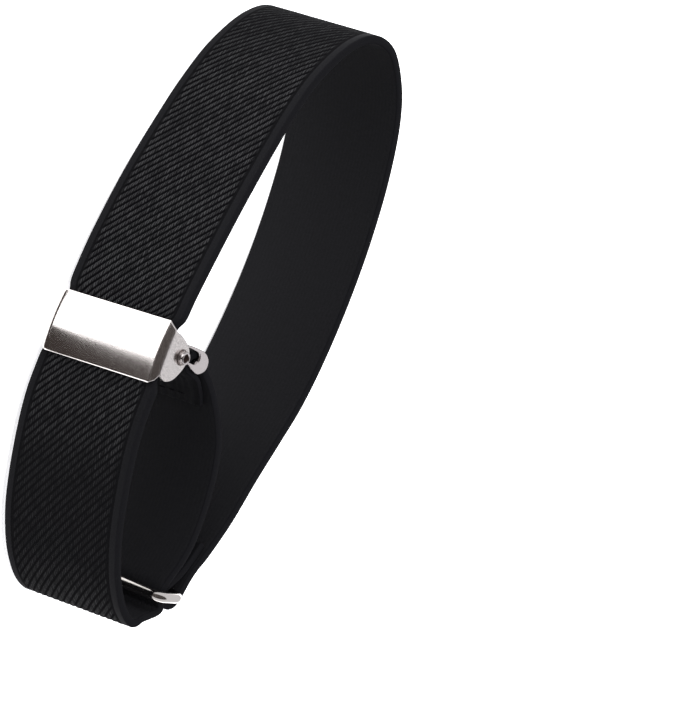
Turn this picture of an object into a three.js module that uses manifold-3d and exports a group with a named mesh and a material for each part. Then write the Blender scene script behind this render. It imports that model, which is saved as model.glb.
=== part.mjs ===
// Sleeve garter: a black elastic strap worn round a shirt sleeve above the elbow.
// The strap stands on its lower rim. It runs from a wire ring up the back, over the top fold,
// down the front through a lever adjuster, round the bottom fold, through the ring again and
// up the inside to the lever. Millimetres, +Z up, X along the loop, Y across it.
import * as THREE from 'three';
import { mergeVertices } from 'three/addons/utils/BufferGeometryUtils.js';
import Module from 'manifold-3d';

const wasm = await Module();
wasm.setup();

// Strap
const STRAP_WIDTH = 25;
const STRAP_THICKNESS = 1.4;
const PINCHED_WIDTH = 24;
const HEM_WIDTH = 22.3;
const RIM_CHAMFER = 0.3;
const LAYER_GAP = 0.2;
const MAX_STEP = 4;
const MAX_TURN = THREE.MathUtils.degToRad(11);

// Ring of round wire that the strap passes through
const WIRE_RADIUS = 0.95;
const WIRE_SIDES = 12;
const RING_HEIGHT = 28.2;
const RING_BEND = 1.6;
const BEND_STEPS = 5;
const FAR_BAR = new THREE.Vector2(48.3, -39.9);
const NEAR_BAR = new THREE.Vector2(48.9, -45.7);

// Adjuster: its own frame has U along the strap, V inward from the strap's outer face, W up
const ADJUSTER_AT = new THREE.Vector3(9.55, -63.81, 13.7);
const ADJUSTER_TURN = THREE.MathUtils.degToRad(-5.7);
const ADJUSTER_LEAN = 1.2;
const ADJUSTER_SKEW = 0.9;
const SHEET = 0.6;
const PLATE_LENGTH = 11.1;
const PLATE_SHIFT = 0.2;
const PLATE_WIDTH = 25.5;
const PLATE_GAP = 0.3;
const PLATE_BOW = 0.45;
const PLATE_BEND = 0.9;
const CORNER_CLIP = 0.95;
const FLANGE_SPAN = 23.9;
const PIVOT = new THREE.Vector2(-0.45, 4.13);
const PIN_RADIUS = 1.1;
const PIN_HOLE_RADIUS = 1.35;
const PIN_SPAN = 26.5;
const REAR_BAR = new THREE.Vector2(-0.45, 10.3);
const REAR_BAR_RADIUS = 0.95;
const FLANGE_OPENING = new THREE.Vector2(-1.5, 7.7);
const FLANGE_OPENING_REACH = 1.1;
const FLANGE_OPENING_RADIUS = 1.1;
const WEB_NOSE = new THREE.Vector2(2.4, 1.85);
const WEB_REAR = new THREE.Vector2(-2.2, 5.4);
const WEB_SHEET = 0.8;
const TOOTH_COUNT = 11;
const TOOTH_DEPTH = 0.8;

const ARC_SIDES = 20;

// The strap's run, seen from above: x and y of the cloth's middle, mid is the height of the
// strap's centre line, width is across the strap, and leanX, leanY shift the upper rim inward.
const BACK_RUN = [
  { x: 44.4, y: -36.9, mid: 14.05, width: 24.5, leanX: 0, leanY: -0.3 },
  { x: 40.4, y: -35.4, mid: 14.0, width: 25, leanX: 0, leanY: -0.6 },
  { x: 33.2, y: -32.4, mid: 13.9, width: 25, leanX: 0, leanY: -0.9 },
  { x: 25.2, y: -29.4, mid: 13.7, width: 25, leanX: 0, leanY: -1.0 },
  { x: 18.1, y: -26.4, mid: 13.45, width: 25, leanX: 0, leanY: -1.0 },
  { x: 11.0, y: -23.5, mid: 13.2, width: 25, leanX: 0, leanY: -1.0 },
  { x: 2.2, y: -21.2, mid: 12.9, width: 25, leanX: 0, leanY: -1.0 },
  { x: -9.6, y: -19.5, mid: 12.65, width: 25, leanX: 0, leanY: -1.1 },
  { x: -21.3, y: -19.1, mid: 12.5, width: 25, leanX: 0, leanY: -1.1 },
  { x: -32.5, y: -20.1, mid: 12.5, width: 25, leanX: 0.1, leanY: -1.1 },
  { x: -42.1, y: -22.5, mid: 12.5, width: 25, leanX: 0.2, leanY: -0.9 },
];
const TOP_FOLD = [
  { x: -47.9, y: -25.7, mid: 12.5, width: 25, leanX: 0.3, leanY: -0.7 },
  { x: -52.6, y: -30.9, mid: 12.5, width: 25, leanX: 0.4, leanY: -0.3 },
  { x: -53.2, y: -36.4, mid: 12.5, width: 25, leanX: 0.4, leanY: 0 },
  { x: -50.4, y: -41.7, mid: 12.5, width: 25, leanX: 0.3, leanY: 0.3 },
];
const FRONT_RUN = [
  { x: -43.5, y: -47.5, mid: 12.5, width: 25, leanX: 0.2, leanY: 0.6 },
  { x: -36.2, y: -51.1, mid: 12.5, width: 25, leanX: 0, leanY: 1.0 },
  { x: -29.7, y: -53.4, mid: 12.5, width: 25, leanX: 0, leanY: 1.4 },
  { x: -18.0, y: -57.2, mid: 12.75, width: 25, leanX: 0, leanY: 1.9 },
  { x: -6.5, y: -60.4, mid: 13.2, width: 25, leanX: 0, leanY: 1.8 },
  { x: -0.6, y: -61.8, mid: 13.5, width: 25, leanX: 0, leanY: 1.4 },
  { x: 2.3, y: -62.25, mid: 13.6, width: 24.8, leanX: 0.1, leanY: 1.2 },
  { x: 4.8, y: -62.6, mid: 13.6, width: 23.6, leanX: 0.1, leanY: 1.2 },
  { x: 10.0, y: -63.15, mid: 13.7, width: 23.6, leanX: 0.1, leanY: 1.2 },
  { x: 14.6, y: -63.6, mid: 13.8, width: 23.6, leanX: 0.1, leanY: 1.2 },
  { x: 17.6, y: -63.83, mid: 13.8, width: 24.8, leanX: 0.1, leanY: 1.2 },
  { x: 21.4, y: -63.9, mid: 13.7, width: 25, leanX: 0, leanY: 1.3 },
  { x: 28.3, y: -63.3, mid: 13.75, width: 25, leanX: 0, leanY: 1.3 },
  { x: 38.4, y: -61.0, mid: 13.9, width: 25, leanX: 0, leanY: 1.4 },
  { x: 43.6, y: -59.0, mid: 13.95, width: 25, leanX: -0.2, leanY: 1.4 },
];
const BOTTOM_FOLD = [
  { x: 49.2, y: -55.8, mid: 14.0, width: 24.8, leanX: -0.7, leanY: 1.3 },
  { x: 53.6, y: -51.1, mid: 14.05, width: 24.6, leanX: -1.1, leanY: 0.8 },
  { x: 54.5, y: -48.1, mid: 14.1, width: 24.4, leanX: -1.0, leanY: 0.3 },
  { x: 53.5, y: -45.5, mid: 14.1, width: 24.2, leanX: -0.6, leanY: 0.1 },
  { x: 51.9, y: -43.75, mid: 14.1, width: 24, leanX: -0.2, leanY: 0 },
  { x: 50.1, y: -43.2, mid: 14.1, width: 24, leanX: 0, leanY: 0 },
  { x: 48.1, y: -43.4, mid: 14.1, width: 24, leanX: 0, leanY: 0 },
];
const INNER_RUN = [
  { x: 45.6, y: -42.6, mid: 14.1, width: 24.2, leanX: 0, leanY: 0 },
  { x: 39.8, y: -41.2, mid: 14.05, width: 25, leanX: 0, leanY: 0.2 },
  { x: 30.1, y: -41.1, mid: 13.9, width: 25, leanX: 0, leanY: 0.5 },
  { x: 24.7, y: -42.2, mid: 13.8, width: 25, leanX: 0, leanY: 0.7 },
  { x: 20.9, y: -43.6, mid: 13.65, width: 25, leanX: 0, leanY: 0.9 },
  { x: 16.8, y: -46.0, mid: 13.45, width: 24.4, leanX: -0.3, leanY: 1.1 },
  { x: 12.9, y: -49.2, mid: 13.2, width: 22.6, leanX: -0.7, leanY: 1.2 },
];
const RING_HEM_END = [
  { x: 36.2, y: -35.4, mid: 13.95, width: 25, leanX: 0, leanY: -0.8 },
  { x: 39.9, y: -36.95, mid: 14.0, width: 25, leanX: 0, leanY: -0.6 },
  { x: 44.0, y: -39.3, mid: 14.05, width: 24.5, leanX: 0, leanY: -0.2 },
];
const LEVER_HEM_END = [
  { x: 13.2, y: -52.4, mid: 13.3, width: 22.9, leanX: -0.7, leanY: 1.2 },
  { x: 15.4, y: -49.7, mid: 13.35, width: 23.6, leanX: -0.5, leanY: 1.2 },
  { x: 17.8, y: -47.4, mid: 13.45, width: 24.3, leanX: -0.3, leanY: 1.1 },
];

// Ear and flange outlines, in the adjuster's U and V
const EAR_OUTLINE = [
  { u: 4.5, v: -0.2 }, { u: 4.5, v: 2.2 }, { u: 3.3, v: 4.3 }, { u: 1.2, v: 5.6 },
  { u: -0.9, v: 6.0 }, { u: -2.6, v: 4.9 }, { u: -3.7, v: 2.3 }, { u: -4.0, v: -0.2 },
];
const FLANGE_OUTLINE = [
  { u: 2.4, v: 2.1 }, { u: 2.0, v: 4.2 }, { u: 0.7, v: 5.8 }, { u: 0.1, v: 7.5 },
  { u: 0.6, v: 9.2 }, { u: 0.8, v: 11.1 }, { u: -0.4, v: 12.7 }, { u: -2.1, v: 12.6 },
  { u: -3.1, v: 11.0 }, { u: -3.2, v: 8.6 }, { u: -2.9, v: 5.4 }, { u: -1.9, v: 2.6 },
];

const MATERIALS = {
  webbing: new THREE.MeshStandardMaterial({ color: 0x202124, roughness: 0.85, metalness: 0 }),
  plate: new THREE.MeshStandardMaterial({ color: 0xc9c5c0, roughness: 0.28, metalness: 1 }),
  lever: new THREE.MeshStandardMaterial({ color: 0xc4bcb8, roughness: 0.35, metalness: 1 }),
  wire: new THREE.MeshStandardMaterial({ color: 0xd4d0cb, roughness: 0.15, metalness: 1 }),
};

// Joins rings of points into a closed surface: a loop when closed, otherwise with two end caps.
function loft(rings, closed) {
  const sides = rings[0].length;
  const positions = rings.flat().flatMap((p) => [p.x, p.y, p.z]);
  const index = [];
  const bands = closed ? rings.length : rings.length - 1;
  for (let band = 0; band < bands; band += 1) {
    const here = band * sides;
    const next = ((band + 1) % rings.length) * sides;
    for (let side = 0; side < sides; side += 1) {
      const other = (side + 1) % sides;
      index.push(here + side, next + side, here + other);
      index.push(here + other, next + side, next + other);
    }
  }
  if (!closed) {
    const last = (rings.length - 1) * sides;
    for (let side = 1; side < sides - 1; side += 1) {
      index.push(0, side, side + 1);
      index.push(last, last + side + 1, last + side);
    }
  }
  const geometry = new THREE.BufferGeometry();
  geometry.setAttribute('position', new THREE.Float32BufferAttribute(positions, 3));
  geometry.setIndex(index);
  geometry.computeVertexNormals();
  return geometry;
}

// Rows of the strap's table for a hem that is folded round an upright bar
function hemTurn(bar, barRadius, fromDegrees, row) {
  const radius = barRadius + LAYER_GAP + STRAP_THICKNESS / 2;
  const steps = 6;
  return Array.from({ length: steps + 1 }, (_, step) => {
    const angle = THREE.MathUtils.degToRad(fromDegrees + (180 * step) / steps);
    return { ...row, x: bar.x + radius * Math.cos(angle), y: bar.y + radius * Math.sin(angle) };
  });
}

// The adjuster's lean is the same slope as the strap's lean between its clamped rims. It is also
// a little askew, square to the strap, which climbs there.
const LEAN_ANGLE = Math.atan(ADJUSTER_LEAN / STRAP_WIDTH);
const SKEW_ANGLE = Math.atan(ADJUSTER_SKEW / STRAP_WIDTH);

function adjusterPoint(point) {
  return new THREE.Vector2(point.x, point.y)
    .rotateAround(new THREE.Vector2(), ADJUSTER_TURN)
    .add(new THREE.Vector2(ADJUSTER_AT.x, ADJUSTER_AT.y));
}

function strapTable() {
  const atRing = { mid: RING_HEIGHT / 2, width: PINCHED_WIDTH, leanX: 0, leanY: 0 };
  const barDrop = REAR_BAR.y * Math.sin(LEAN_ANGLE);
  const atLever = {
    mid: ADJUSTER_AT.z - barDrop, width: HEM_WIDTH, leanX: -ADJUSTER_SKEW, leanY: ADJUSTER_LEAN,
  };
  return [
    ...RING_HEM_END,
    ...hemTurn(FAR_BAR, WIRE_RADIUS, -108, atRing),
    ...BACK_RUN,
    ...TOP_FOLD,
    ...FRONT_RUN,
    ...BOTTOM_FOLD,
    ...INNER_RUN,
    ...hemTurn(adjusterPoint(REAR_BAR), REAR_BAR_RADIUS, 132, atLever),
    ...LEVER_HEM_END,
  ];
}

// Places along the route, closer together where it bends
function stations(route) {
  const fine = Math.ceil(route.getLength() / 0.4);
  const kept = [0];
  let lastU = 0;
  for (let i = 1; i < fine; i += 1) {
    const u = i / fine;
    const turned = route.getTangentAt(lastU).angleTo(route.getTangentAt(u));
    const gone = (u - lastU) * route.getLength();
    if (turned > MAX_TURN || gone > MAX_STEP) {
      kept.push(u);
      lastU = u;
    }
  }
  kept.push(1);
  return kept;
}

// Eight points round the strap's section: a thin rectangle with chamfered rims
function strapSection(route, heights, leans, u) {
  const t = route.getUtoTmapping(u, 0);
  const centre = route.getPoint(t);
  const tangent = route.getTangentAt(u);
  const outward = new THREE.Vector3(tangent.y, -tangent.x, 0);
  const { x: mid, y: width } = heights.getPoint(t);
  const lean = leans.getPoint(t);
  const half = STRAP_THICKNESS / 2;
  const flat = half - RIM_CHAMFER;
  const rim = width / 2;
  const corners = [
    [half, rim - RIM_CHAMFER], [flat, rim], [-flat, rim], [-half, rim - RIM_CHAMFER],
    [-half, RIM_CHAMFER - rim], [-flat, -rim], [flat, -rim], [half, RIM_CHAMFER - rim],
  ];
  return corners.map(([out, up]) => new THREE.Vector3(
    centre.x + outward.x * out + (lean.x * up) / STRAP_WIDTH,
    centre.y + outward.y * out + (lean.y * up) / STRAP_WIDTH,
    mid + up,
  ));
}

function elasticStrap() {
  const table = strapTable();
  const curve = (pick) => new THREE.CatmullRomCurve3(table.map(pick), false, 'catmullrom', 0.5);
  const route = new THREE.CatmullRomCurve3(
    table.map((row) => new THREE.Vector3(row.x, row.y, 0)), false, 'centripetal');
  route.arcLengthDivisions = 2000;
  const heights = curve((row) => new THREE.Vector3(row.mid, row.width, 0));
  const leans = curve((row) => new THREE.Vector3(row.leanX, row.leanY, 0));
  return loft(stations(route).map((u) => strapSection(route, heights, leans, u)), false);
}

// A closed ring of round wire: two upright bars joined by short bent ends
function slideRing() {
  const across = FAR_BAR.clone().sub(NEAR_BAR);
  const halfGap = across.length() / 2;
  const side = new THREE.Vector3(across.x, across.y, 0).normalize();
  const up = new THREE.Vector3(0, 0, 1);
  const halfHeight = RING_HEIGHT / 2 - WIRE_RADIUS;
  const centre = new THREE.Vector3((FAR_BAR.x + NEAR_BAR.x) / 2, (FAR_BAR.y + NEAR_BAR.y) / 2,
    RING_HEIGHT / 2);
  const normal = new THREE.Vector3().crossVectors(side, up);
  const rings = [];
  for (let corner = 0; corner < 4; corner += 1) {
    const signA = corner === 0 || corner === 3 ? 1 : -1;
    const signB = corner < 2 ? 1 : -1;
    for (let step = 0; step <= BEND_STEPS; step += 1) {
      const angle = (Math.PI / 2) * (corner + step / BEND_STEPS);
      const radial = side.clone().multiplyScalar(Math.cos(angle))
        .addScaledVector(up, Math.sin(angle));
      const at = centre.clone()
        .addScaledVector(side, signA * (halfGap - RING_BEND))
        .addScaledVector(up, signB * (halfHeight - RING_BEND))
        .addScaledVector(radial, RING_BEND);
      rings.push(Array.from({ length: WIRE_SIDES }, (_, k) => {
        const turn = (2 * Math.PI * k) / WIRE_SIDES;
        return at.clone()
          .addScaledVector(radial, WIRE_RADIUS * Math.cos(turn))
          .addScaledVector(normal, WIRE_RADIUS * Math.sin(turn));
      }));
    }
  }
  return loft(rings, true);
}

function toSolid(geometry) {
  const bare = geometry.clone();
  bare.deleteAttribute('normal');
  bare.deleteAttribute('uv');
  const merged = mergeVertices(bare, 1e-4);
  return new wasm.Manifold(new wasm.Mesh({
    numProp: 3,
    vertProperties: new Float32Array(merged.attributes.position.array),
    triVerts: new Uint32Array(merged.index.array),
  }));
}

function toGeometry(solid) {
  const mesh = solid.getMesh();
  const geometry = new THREE.BufferGeometry();
  geometry.setAttribute('position', new THREE.BufferAttribute(mesh.vertProperties, 3));
  geometry.setIndex(new THREE.BufferAttribute(mesh.triVerts, 1));
  geometry.computeVertexNormals();
  return geometry;
}

// A flat outline in U and V, made thick along W and centred at the height w
function slab(shape, thickness, w) {
  const geometry = new THREE.ExtrudeGeometry(shape, {
    depth: thickness, bevelEnabled: false, curveSegments: 6,
  });
  geometry.translate(0, 0, w - thickness / 2);
  return toSolid(geometry);
}

// A round bar along W
function bar(at, radius, length, w = 0) {
  const geometry = new THREE.CylinderGeometry(radius, radius, length, ARC_SIDES);
  geometry.rotateX(Math.PI / 2);
  geometry.translate(at.x, at.y, w);
  return toSolid(geometry);
}

function smoothShape(rows) {
  const shape = new THREE.Shape();
  const [first] = rows;
  shape.moveTo(first.u, first.v);
  shape.splineThru(rows.slice(1).map(({ u, v }) => new THREE.Vector2(u, v)));
  shape.closePath();
  return shape;
}

// Cover plate in the adjuster's frame. Its front is a sheet bowed about W, and each end is bent
// back round the strap's rim into an ear with a pin hole.
function coverPlate() {
  const left = PLATE_SHIFT - PLATE_LENGTH / 2;
  const right = PLATE_SHIFT + PLATE_LENGTH / 2;
  const halfWidth = PLATE_WIDTH / 2;
  const front = -PLATE_GAP - SHEET - PLATE_BOW;
  const earTip = 7;

  const sideView = (edge, peak) => {
    const shape = new THREE.Shape();
    shape.moveTo(right, edge);
    shape.quadraticCurveTo(PLATE_SHIFT, 2 * peak - edge, left, edge);
    return shape;
  };
  const frontSheet = sideView(-PLATE_GAP - SHEET, front);
  frontSheet.lineTo(left, -PLATE_GAP + 0.1);
  frontSheet.lineTo(right, -PLATE_GAP + 0.1);
  frontSheet.closePath();
  const sides = slab(frontSheet, PLATE_WIDTH, 0).add(slab(smoothShape(EAR_OUTLINE), PLATE_WIDTH, 0));

  // Section across the strap with round bends, extruded along U
  const bentSection = (half, bend, from) => {
    const shape = new THREE.Shape();
    shape.moveTo(-half, earTip);
    shape.lineTo(-half, from + bend);
    shape.absarc(-half + bend, from + bend, bend, Math.PI, 1.5 * Math.PI, false);
    shape.lineTo(half - bend, from);
    shape.absarc(half - bend, from + bend, bend, 1.5 * Math.PI, 2 * Math.PI, false);
    shape.lineTo(half, earTip);
    shape.closePath();
    const geometry = new THREE.ExtrudeGeometry(shape, {
      depth: PLATE_LENGTH + 2, bevelEnabled: false, curveSegments: 4,
    });
    geometry.translate(0, 0, -PLATE_LENGTH / 2 - 1);
    geometry.rotateY(-Math.PI / 2);
    return toSolid(geometry);
  };
  const outer = bentSection(halfWidth, PLATE_BEND, front);

  // The hollow follows the bow one sheet further in and is open to the back
  const hollowSide = sideView(-PLATE_GAP, front + SHEET);
  hollowSide.lineTo(left - 1, -PLATE_GAP);
  hollowSide.lineTo(left - 1, earTip + 1);
  hollowSide.lineTo(right + 1, earTip + 1);
  hollowSide.lineTo(right + 1, -PLATE_GAP);
  hollowSide.closePath();
  const hollow = slab(hollowSide, PLATE_WIDTH - 2 * SHEET, 0);

  const clip = new THREE.Shape();
  clip.moveTo(right, -halfWidth + CORNER_CLIP);
  clip.lineTo(right, halfWidth - CORNER_CLIP);
  clip.lineTo(right - CORNER_CLIP, halfWidth);
  clip.lineTo(left + CORNER_CLIP, halfWidth);
  clip.lineTo(left, halfWidth - CORNER_CLIP);
  clip.lineTo(left, -halfWidth + CORNER_CLIP);
  clip.lineTo(left + CORNER_CLIP, -halfWidth);
  clip.lineTo(right - CORNER_CLIP, -halfWidth);
  clip.closePath();
  const clipBlock = new THREE.ExtrudeGeometry(clip, { depth: earTip - front + 1, bevelEnabled: false });
  clipBlock.rotateX(Math.PI / 2);
  clipBlock.translate(0, earTip + 0.5, 0);

  return toGeometry(sides
    .intersect(outer)
    .intersect(toSolid(clipBlock))
    .subtract(hollow)
    .subtract(bar(PIVOT, PIN_HOLE_RADIUS, PLATE_WIDTH + 2)));
}

// The lever's gripping web: a flat sheet whose front edge has a row of teeth
function toothedWeb() {
  const run = WEB_NOSE.clone().sub(WEB_REAR);
  const reach = run.length();
  const span = FLANGE_SPAN - SHEET;
  const pitch = span / TOOTH_COUNT;
  const shape = new THREE.Shape();
  shape.moveTo(0, -span / 2);
  for (let tooth = 0; tooth < TOOTH_COUNT; tooth += 1) {
    const start = -span / 2 + tooth * pitch;
    shape.lineTo(reach - TOOTH_DEPTH, start);
    shape.lineTo(reach, start + pitch / 2);
  }
  shape.lineTo(reach - TOOTH_DEPTH, span / 2);
  shape.lineTo(0, span / 2);
  shape.closePath();
  const geometry = new THREE.ExtrudeGeometry(shape, { depth: WEB_SHEET, bevelEnabled: false });
  geometry.translate(0, 0, -WEB_SHEET / 2);
  geometry.rotateX(Math.PI / 2);
  geometry.rotateZ(run.angle());
  geometry.translate(WEB_REAR.x, WEB_REAR.y, 0);
  return toSolid(geometry);
}

// Grip lever in the adjuster's frame
function gripLever() {
  const flange = smoothShape(FLANGE_OUTLINE);
  const opening = new THREE.Path();
  const { x, y } = FLANGE_OPENING;
  opening.absarc(x, y + FLANGE_OPENING_REACH, FLANGE_OPENING_RADIUS, 0, Math.PI, false);
  opening.absarc(x, y - FLANGE_OPENING_REACH, FLANGE_OPENING_RADIUS, Math.PI, 2 * Math.PI, false);
  opening.closePath();
  flange.holes.push(opening);
  const flangeAt = (FLANGE_SPAN - SHEET) / 2;
  const pinLength = (PIN_SPAN - FLANGE_SPAN) / 2 + SHEET;
  const pinAt = (PIN_SPAN - pinLength) / 2;
  return toGeometry(toothedWeb()
    .add(slab(flange, SHEET, flangeAt))
    .add(slab(flange, SHEET, -flangeAt))
    .add(bar(REAR_BAR, REAR_BAR_RADIUS, FLANGE_SPAN - SHEET))
    .add(bar(PIVOT, PIN_RADIUS, pinLength, pinAt))
    .add(bar(PIVOT, PIN_RADIUS, pinLength, -pinAt)));
}

function named(name, geometry, material) {
  const mesh = new THREE.Mesh(geometry, material);
  mesh.name = name;
  return mesh;
}

// The adjuster leans with the strap and is turned along it
function adjuster() {
  const leaning = new THREE.Group();
  leaning.rotation.set(-LEAN_ANGLE, -SKEW_ANGLE, 0);
  leaning.add(named('cover_plate', coverPlate(), MATERIALS.plate));
  leaning.add(named('grip_lever', gripLever(), MATERIALS.lever));
  const turned = new THREE.Group();
  turned.rotation.z = ADJUSTER_TURN;
  turned.position.copy(ADJUSTER_AT);
  turned.add(leaning);
  return turned;
}

function garter() {
  const loop = new THREE.Group();
  loop.add(named('elastic_strap', elasticStrap(), MATERIALS.webbing));
  loop.add(named('slide_ring', slideRing(), MATERIALS.wire));
  loop.add(adjuster());
  loop.updateMatrixWorld(true);
  // The origin is under the middle of the whole garter, on the surface that it stands on
  const box = new THREE.Box3().setFromObject(loop, true);
  const middle = box.getCenter(new THREE.Vector3());
  loop.position.set(-middle.x, -middle.y, -box.min.z);
  const part = new THREE.Group();
  part.add(loop);
  return part;
}

export default garter();
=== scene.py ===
"""Looks of a sleeve garter: a ribbed elastic strap, its hems, a wire ring, a pressed cover plate
and a grip lever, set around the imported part. Lengths in the tables are millimetres."""
import math

import bmesh
import bpy
import numpy as np
from bpy.props import FloatProperty, FloatVectorProperty, PointerProperty
from mathutils import Matrix, Vector


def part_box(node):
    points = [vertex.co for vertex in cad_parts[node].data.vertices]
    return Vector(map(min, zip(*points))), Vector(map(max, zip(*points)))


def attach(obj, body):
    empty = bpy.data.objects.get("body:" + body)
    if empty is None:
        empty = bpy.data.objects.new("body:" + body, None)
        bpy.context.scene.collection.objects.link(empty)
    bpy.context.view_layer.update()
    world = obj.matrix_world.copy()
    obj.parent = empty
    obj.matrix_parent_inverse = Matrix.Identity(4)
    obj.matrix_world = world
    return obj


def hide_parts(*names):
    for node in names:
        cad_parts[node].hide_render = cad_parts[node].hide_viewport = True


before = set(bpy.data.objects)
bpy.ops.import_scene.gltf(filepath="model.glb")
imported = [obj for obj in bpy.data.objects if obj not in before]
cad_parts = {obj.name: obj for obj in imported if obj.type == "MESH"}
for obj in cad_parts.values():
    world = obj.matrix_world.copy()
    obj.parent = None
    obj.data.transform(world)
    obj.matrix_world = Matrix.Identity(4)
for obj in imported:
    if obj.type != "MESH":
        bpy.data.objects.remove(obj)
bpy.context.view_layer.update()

bl_info = {
    "name": "Sleeve garter",
    "version": (1, 0, 0),
    "blender": (4, 5, 0),
    "location": "View3D > Sidebar > Garter",
    "description": "Builds a sleeve garter's ribbed strap and plated hardware",
    "category": "Object",
}

MM = 0.001

# Strap, in millimetres. PILE is how far the cloth's soft nap stands out, and HEM_PRESS is what a
# sewn tail loses in thickness. Hem turns start at a direction in degrees.
STRAP_WIDTH = 25.0
STRAP_THICKNESS = 1.4
RIM_ROUND = 0.3
PILE = 0.3
LAYER_GAP = 0.2
PINCHED_WIDTH = 22.6
HEM_WIDTH = 22.3
HEM_PRESS = 0.5
RING_HEM_SLACK = 0.2
RING_HEM_START = -108
LEVER_HEM_START = 142
HEM_SEAM = 2.2
UV_UNIT = 100

# Ring. The bars' places are in the run tables' x and y
WIRE_RADIUS = 0.95
RING_HEIGHT = 28.2
RING_BEND = 1.6
FAR_BAR = (48.3, -39.9)
NEAR_BAR = (48.9, -45.7)

# Adjuster: U along the strap, V inward from the strap's outer face, W up
ADJUSTER_AT = (9.55, -63.81, 13.7)
ADJUSTER_TURN = math.radians(-5.7)
ADJUSTER_LEAN = 1.2
ADJUSTER_SKEW = 0.9
SHEET = 0.6
PLATE_LENGTH = 11.1
PLATE_SHIFT = 0.2
PLATE_WIDTH = 25.5
PLATE_GAP = 0.3
PLATE_BOW = 0.45
PLATE_BEND = 1.6
CORNER_CUT = (0.75, 0.85)
CORNER_FROM_END = 1.25
PIVOT = (-0.45, 4.13)
PIN_RADIUS = 1.1
PIN_HOLE_RADIUS = 1.35
PIN_SPAN = 26.5
UPPER_PIN_PROUD = 0.4
PIN_BORE_RADIUS = 0.7
PIN_BORE_DEPTH = 1.4
REAR_BAR = (-0.45, 10.3)
REAR_BAR_RADIUS = 0.95
FLANGE_SPAN = 23.9
FLANGE_OPENING = (-1.5, 7.7)
FLANGE_OPENING_REACH = 1.1
FLANGE_OPENING_RADIUS = 1.1
WEB_NOSE = (2.4, 1.85)
WEB_REAR = (-2.2, 5.4)
WEB_SHEET = 0.8
TOOTH_COUNT = 11
TOOTH_DEPTH = 0.8

# The strap's run, the part's with small changes at the lower end: x, y, mid height, width, and
# how far the top leans out in x and y
RING_HEM_END = [
    (38.6, -36.35, 13.6, 24.2, 0, -0.8), (41.3, -37.5, 13.7, 23.9, 0, -0.6),
    (44.4, -39.3, 13.9, 23.3, 0, -0.2),
]
BACK_RUN = [
    (44.4, -36.9, 14.05, 23.5, 0, -0.3), (40.4, -35.4, 14.0, 24.5, 0, -0.6),
    (33.2, -32.4, 13.9, 25, 0, -0.9), (25.2, -29.4, 13.7, 25, 0, -1.0),
    (18.1, -26.4, 13.45, 25, 0, -1.0), (11.0, -23.5, 13.2, 25, 0, -1.0),
    (2.2, -21.2, 12.9, 25, 0, -1.0), (-9.6, -19.5, 12.65, 25, 0, -1.1),
    (-21.3, -19.1, 12.5, 25, 0, -1.1), (-32.5, -20.1, 12.5, 25, 0.1, -1.1),
    (-42.1, -22.5, 12.5, 25, 0.2, -0.9),
]
TOP_FOLD = [
    (-47.9, -25.7, 12.5, 25, 0.3, -0.7), (-52.6, -30.9, 12.5, 25, 0.4, -0.3),
    (-53.2, -36.4, 12.5, 25, 0.4, 0), (-50.4, -41.7, 12.5, 25, 0.3, 0.3),
]
FRONT_RUN = [
    (-43.5, -47.5, 12.5, 25, 0.2, 0.6), (-36.2, -51.1, 12.5, 25, 0, 1.0),
    (-29.7, -53.4, 12.5, 25, 0, 1.4), (-18.0, -57.2, 12.75, 25, 0, 1.9),
    (-6.5, -60.4, 13.2, 25, 0, 1.8), (-0.6, -61.8, 13.5, 25, 0, 1.4),
    (3.0, -62.35, 13.6, 24.9, 0.1, 1.2), (5.2, -62.65, 13.6, 23.6, 0.1, 1.2),
    (10.0, -63.15, 13.7, 23.6, 0.1, 1.2), (13.4, -63.5, 13.8, 23.6, 0.1, 1.2),
    (15.8, -63.72, 13.8, 24.9, 0.1, 1.2), (18.4, -63.86, 13.75, 25, 0.1, 1.2),
    (22.4, -63.9, 13.7, 25, 0, 1.3),
    (28.3, -63.3, 13.75, 25, 0, 1.3), (38.4, -61.1, 13.9, 25, 0, 1.4),
    (43.8, -59.1, 13.95, 25, -0.2, 1.4),
]
BOTTOM_FOLD = [
    (49.4, -55.9, 14.0, 24.8, -0.7, 1.3), (53.2, -52.3, 14.05, 24.6, -1.1, 0.9),
    (54.75, -49.3, 14.1, 24.5, -1.0, 0.5), (54.55, -47.7, 14.1, 24.4, -0.9, 0.2),
    (53.6, -46.6, 14.1, 24.3, -0.6, 0.1), (52.5, -44.5, 14.1, 24.2, -0.3, 0.1),
    (51.6, -42.7, 14.1, 24.0, -0.1, 0.1), (50.95, -42.1, 14.1, 23.8, 0, 0),
    (49.7, -43.0, 14.1, 24, 0, 0), (48.1, -43.45, 14.1, 24, 0, 0),
]
INNER_RUN = [
    (45.4, -42.6, 14.1, 24.2, 0, 0), (42.4, -41.8, 14.05, 24.8, 0, 0.1),
    (39.2, -41.15, 14.05, 25, 0, 0.2), (35.9, -40.8, 14.0, 25, 0, 0.3),
    (31.8, -40.85, 13.9, 25, 0, 0.5), (27.0, -41.35, 13.85, 25, 0, 0.6),
    (23.9, -42.05, 13.8, 25, 0, 0.7), (20.75, -43.1, 13.65, 25, 0, 0.9),
    (17.35, -44.85, 13.5, 24.6, -0.3, 1.0), (14.35, -46.7, 13.4, 23.8, -0.5, 1.1),
    (12.3, -48.5, 13.3, 23.1, -0.7, 1.2), (10.9, -50.1, 13.2, 22.6, -0.8, 1.2),
]
LEVER_HEM_END = [
    (12.45, -51.6, 13.15, 22.2, -0.8, 1.2), (13.6, -49.75, 12.9, 22.0, -0.7, 1.2),
    (15.3, -48.0, 12.7, 21.8, -0.6, 1.2), (16.3, -47.3, 12.6, 21.6, -0.5, 1.1),
]

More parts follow.
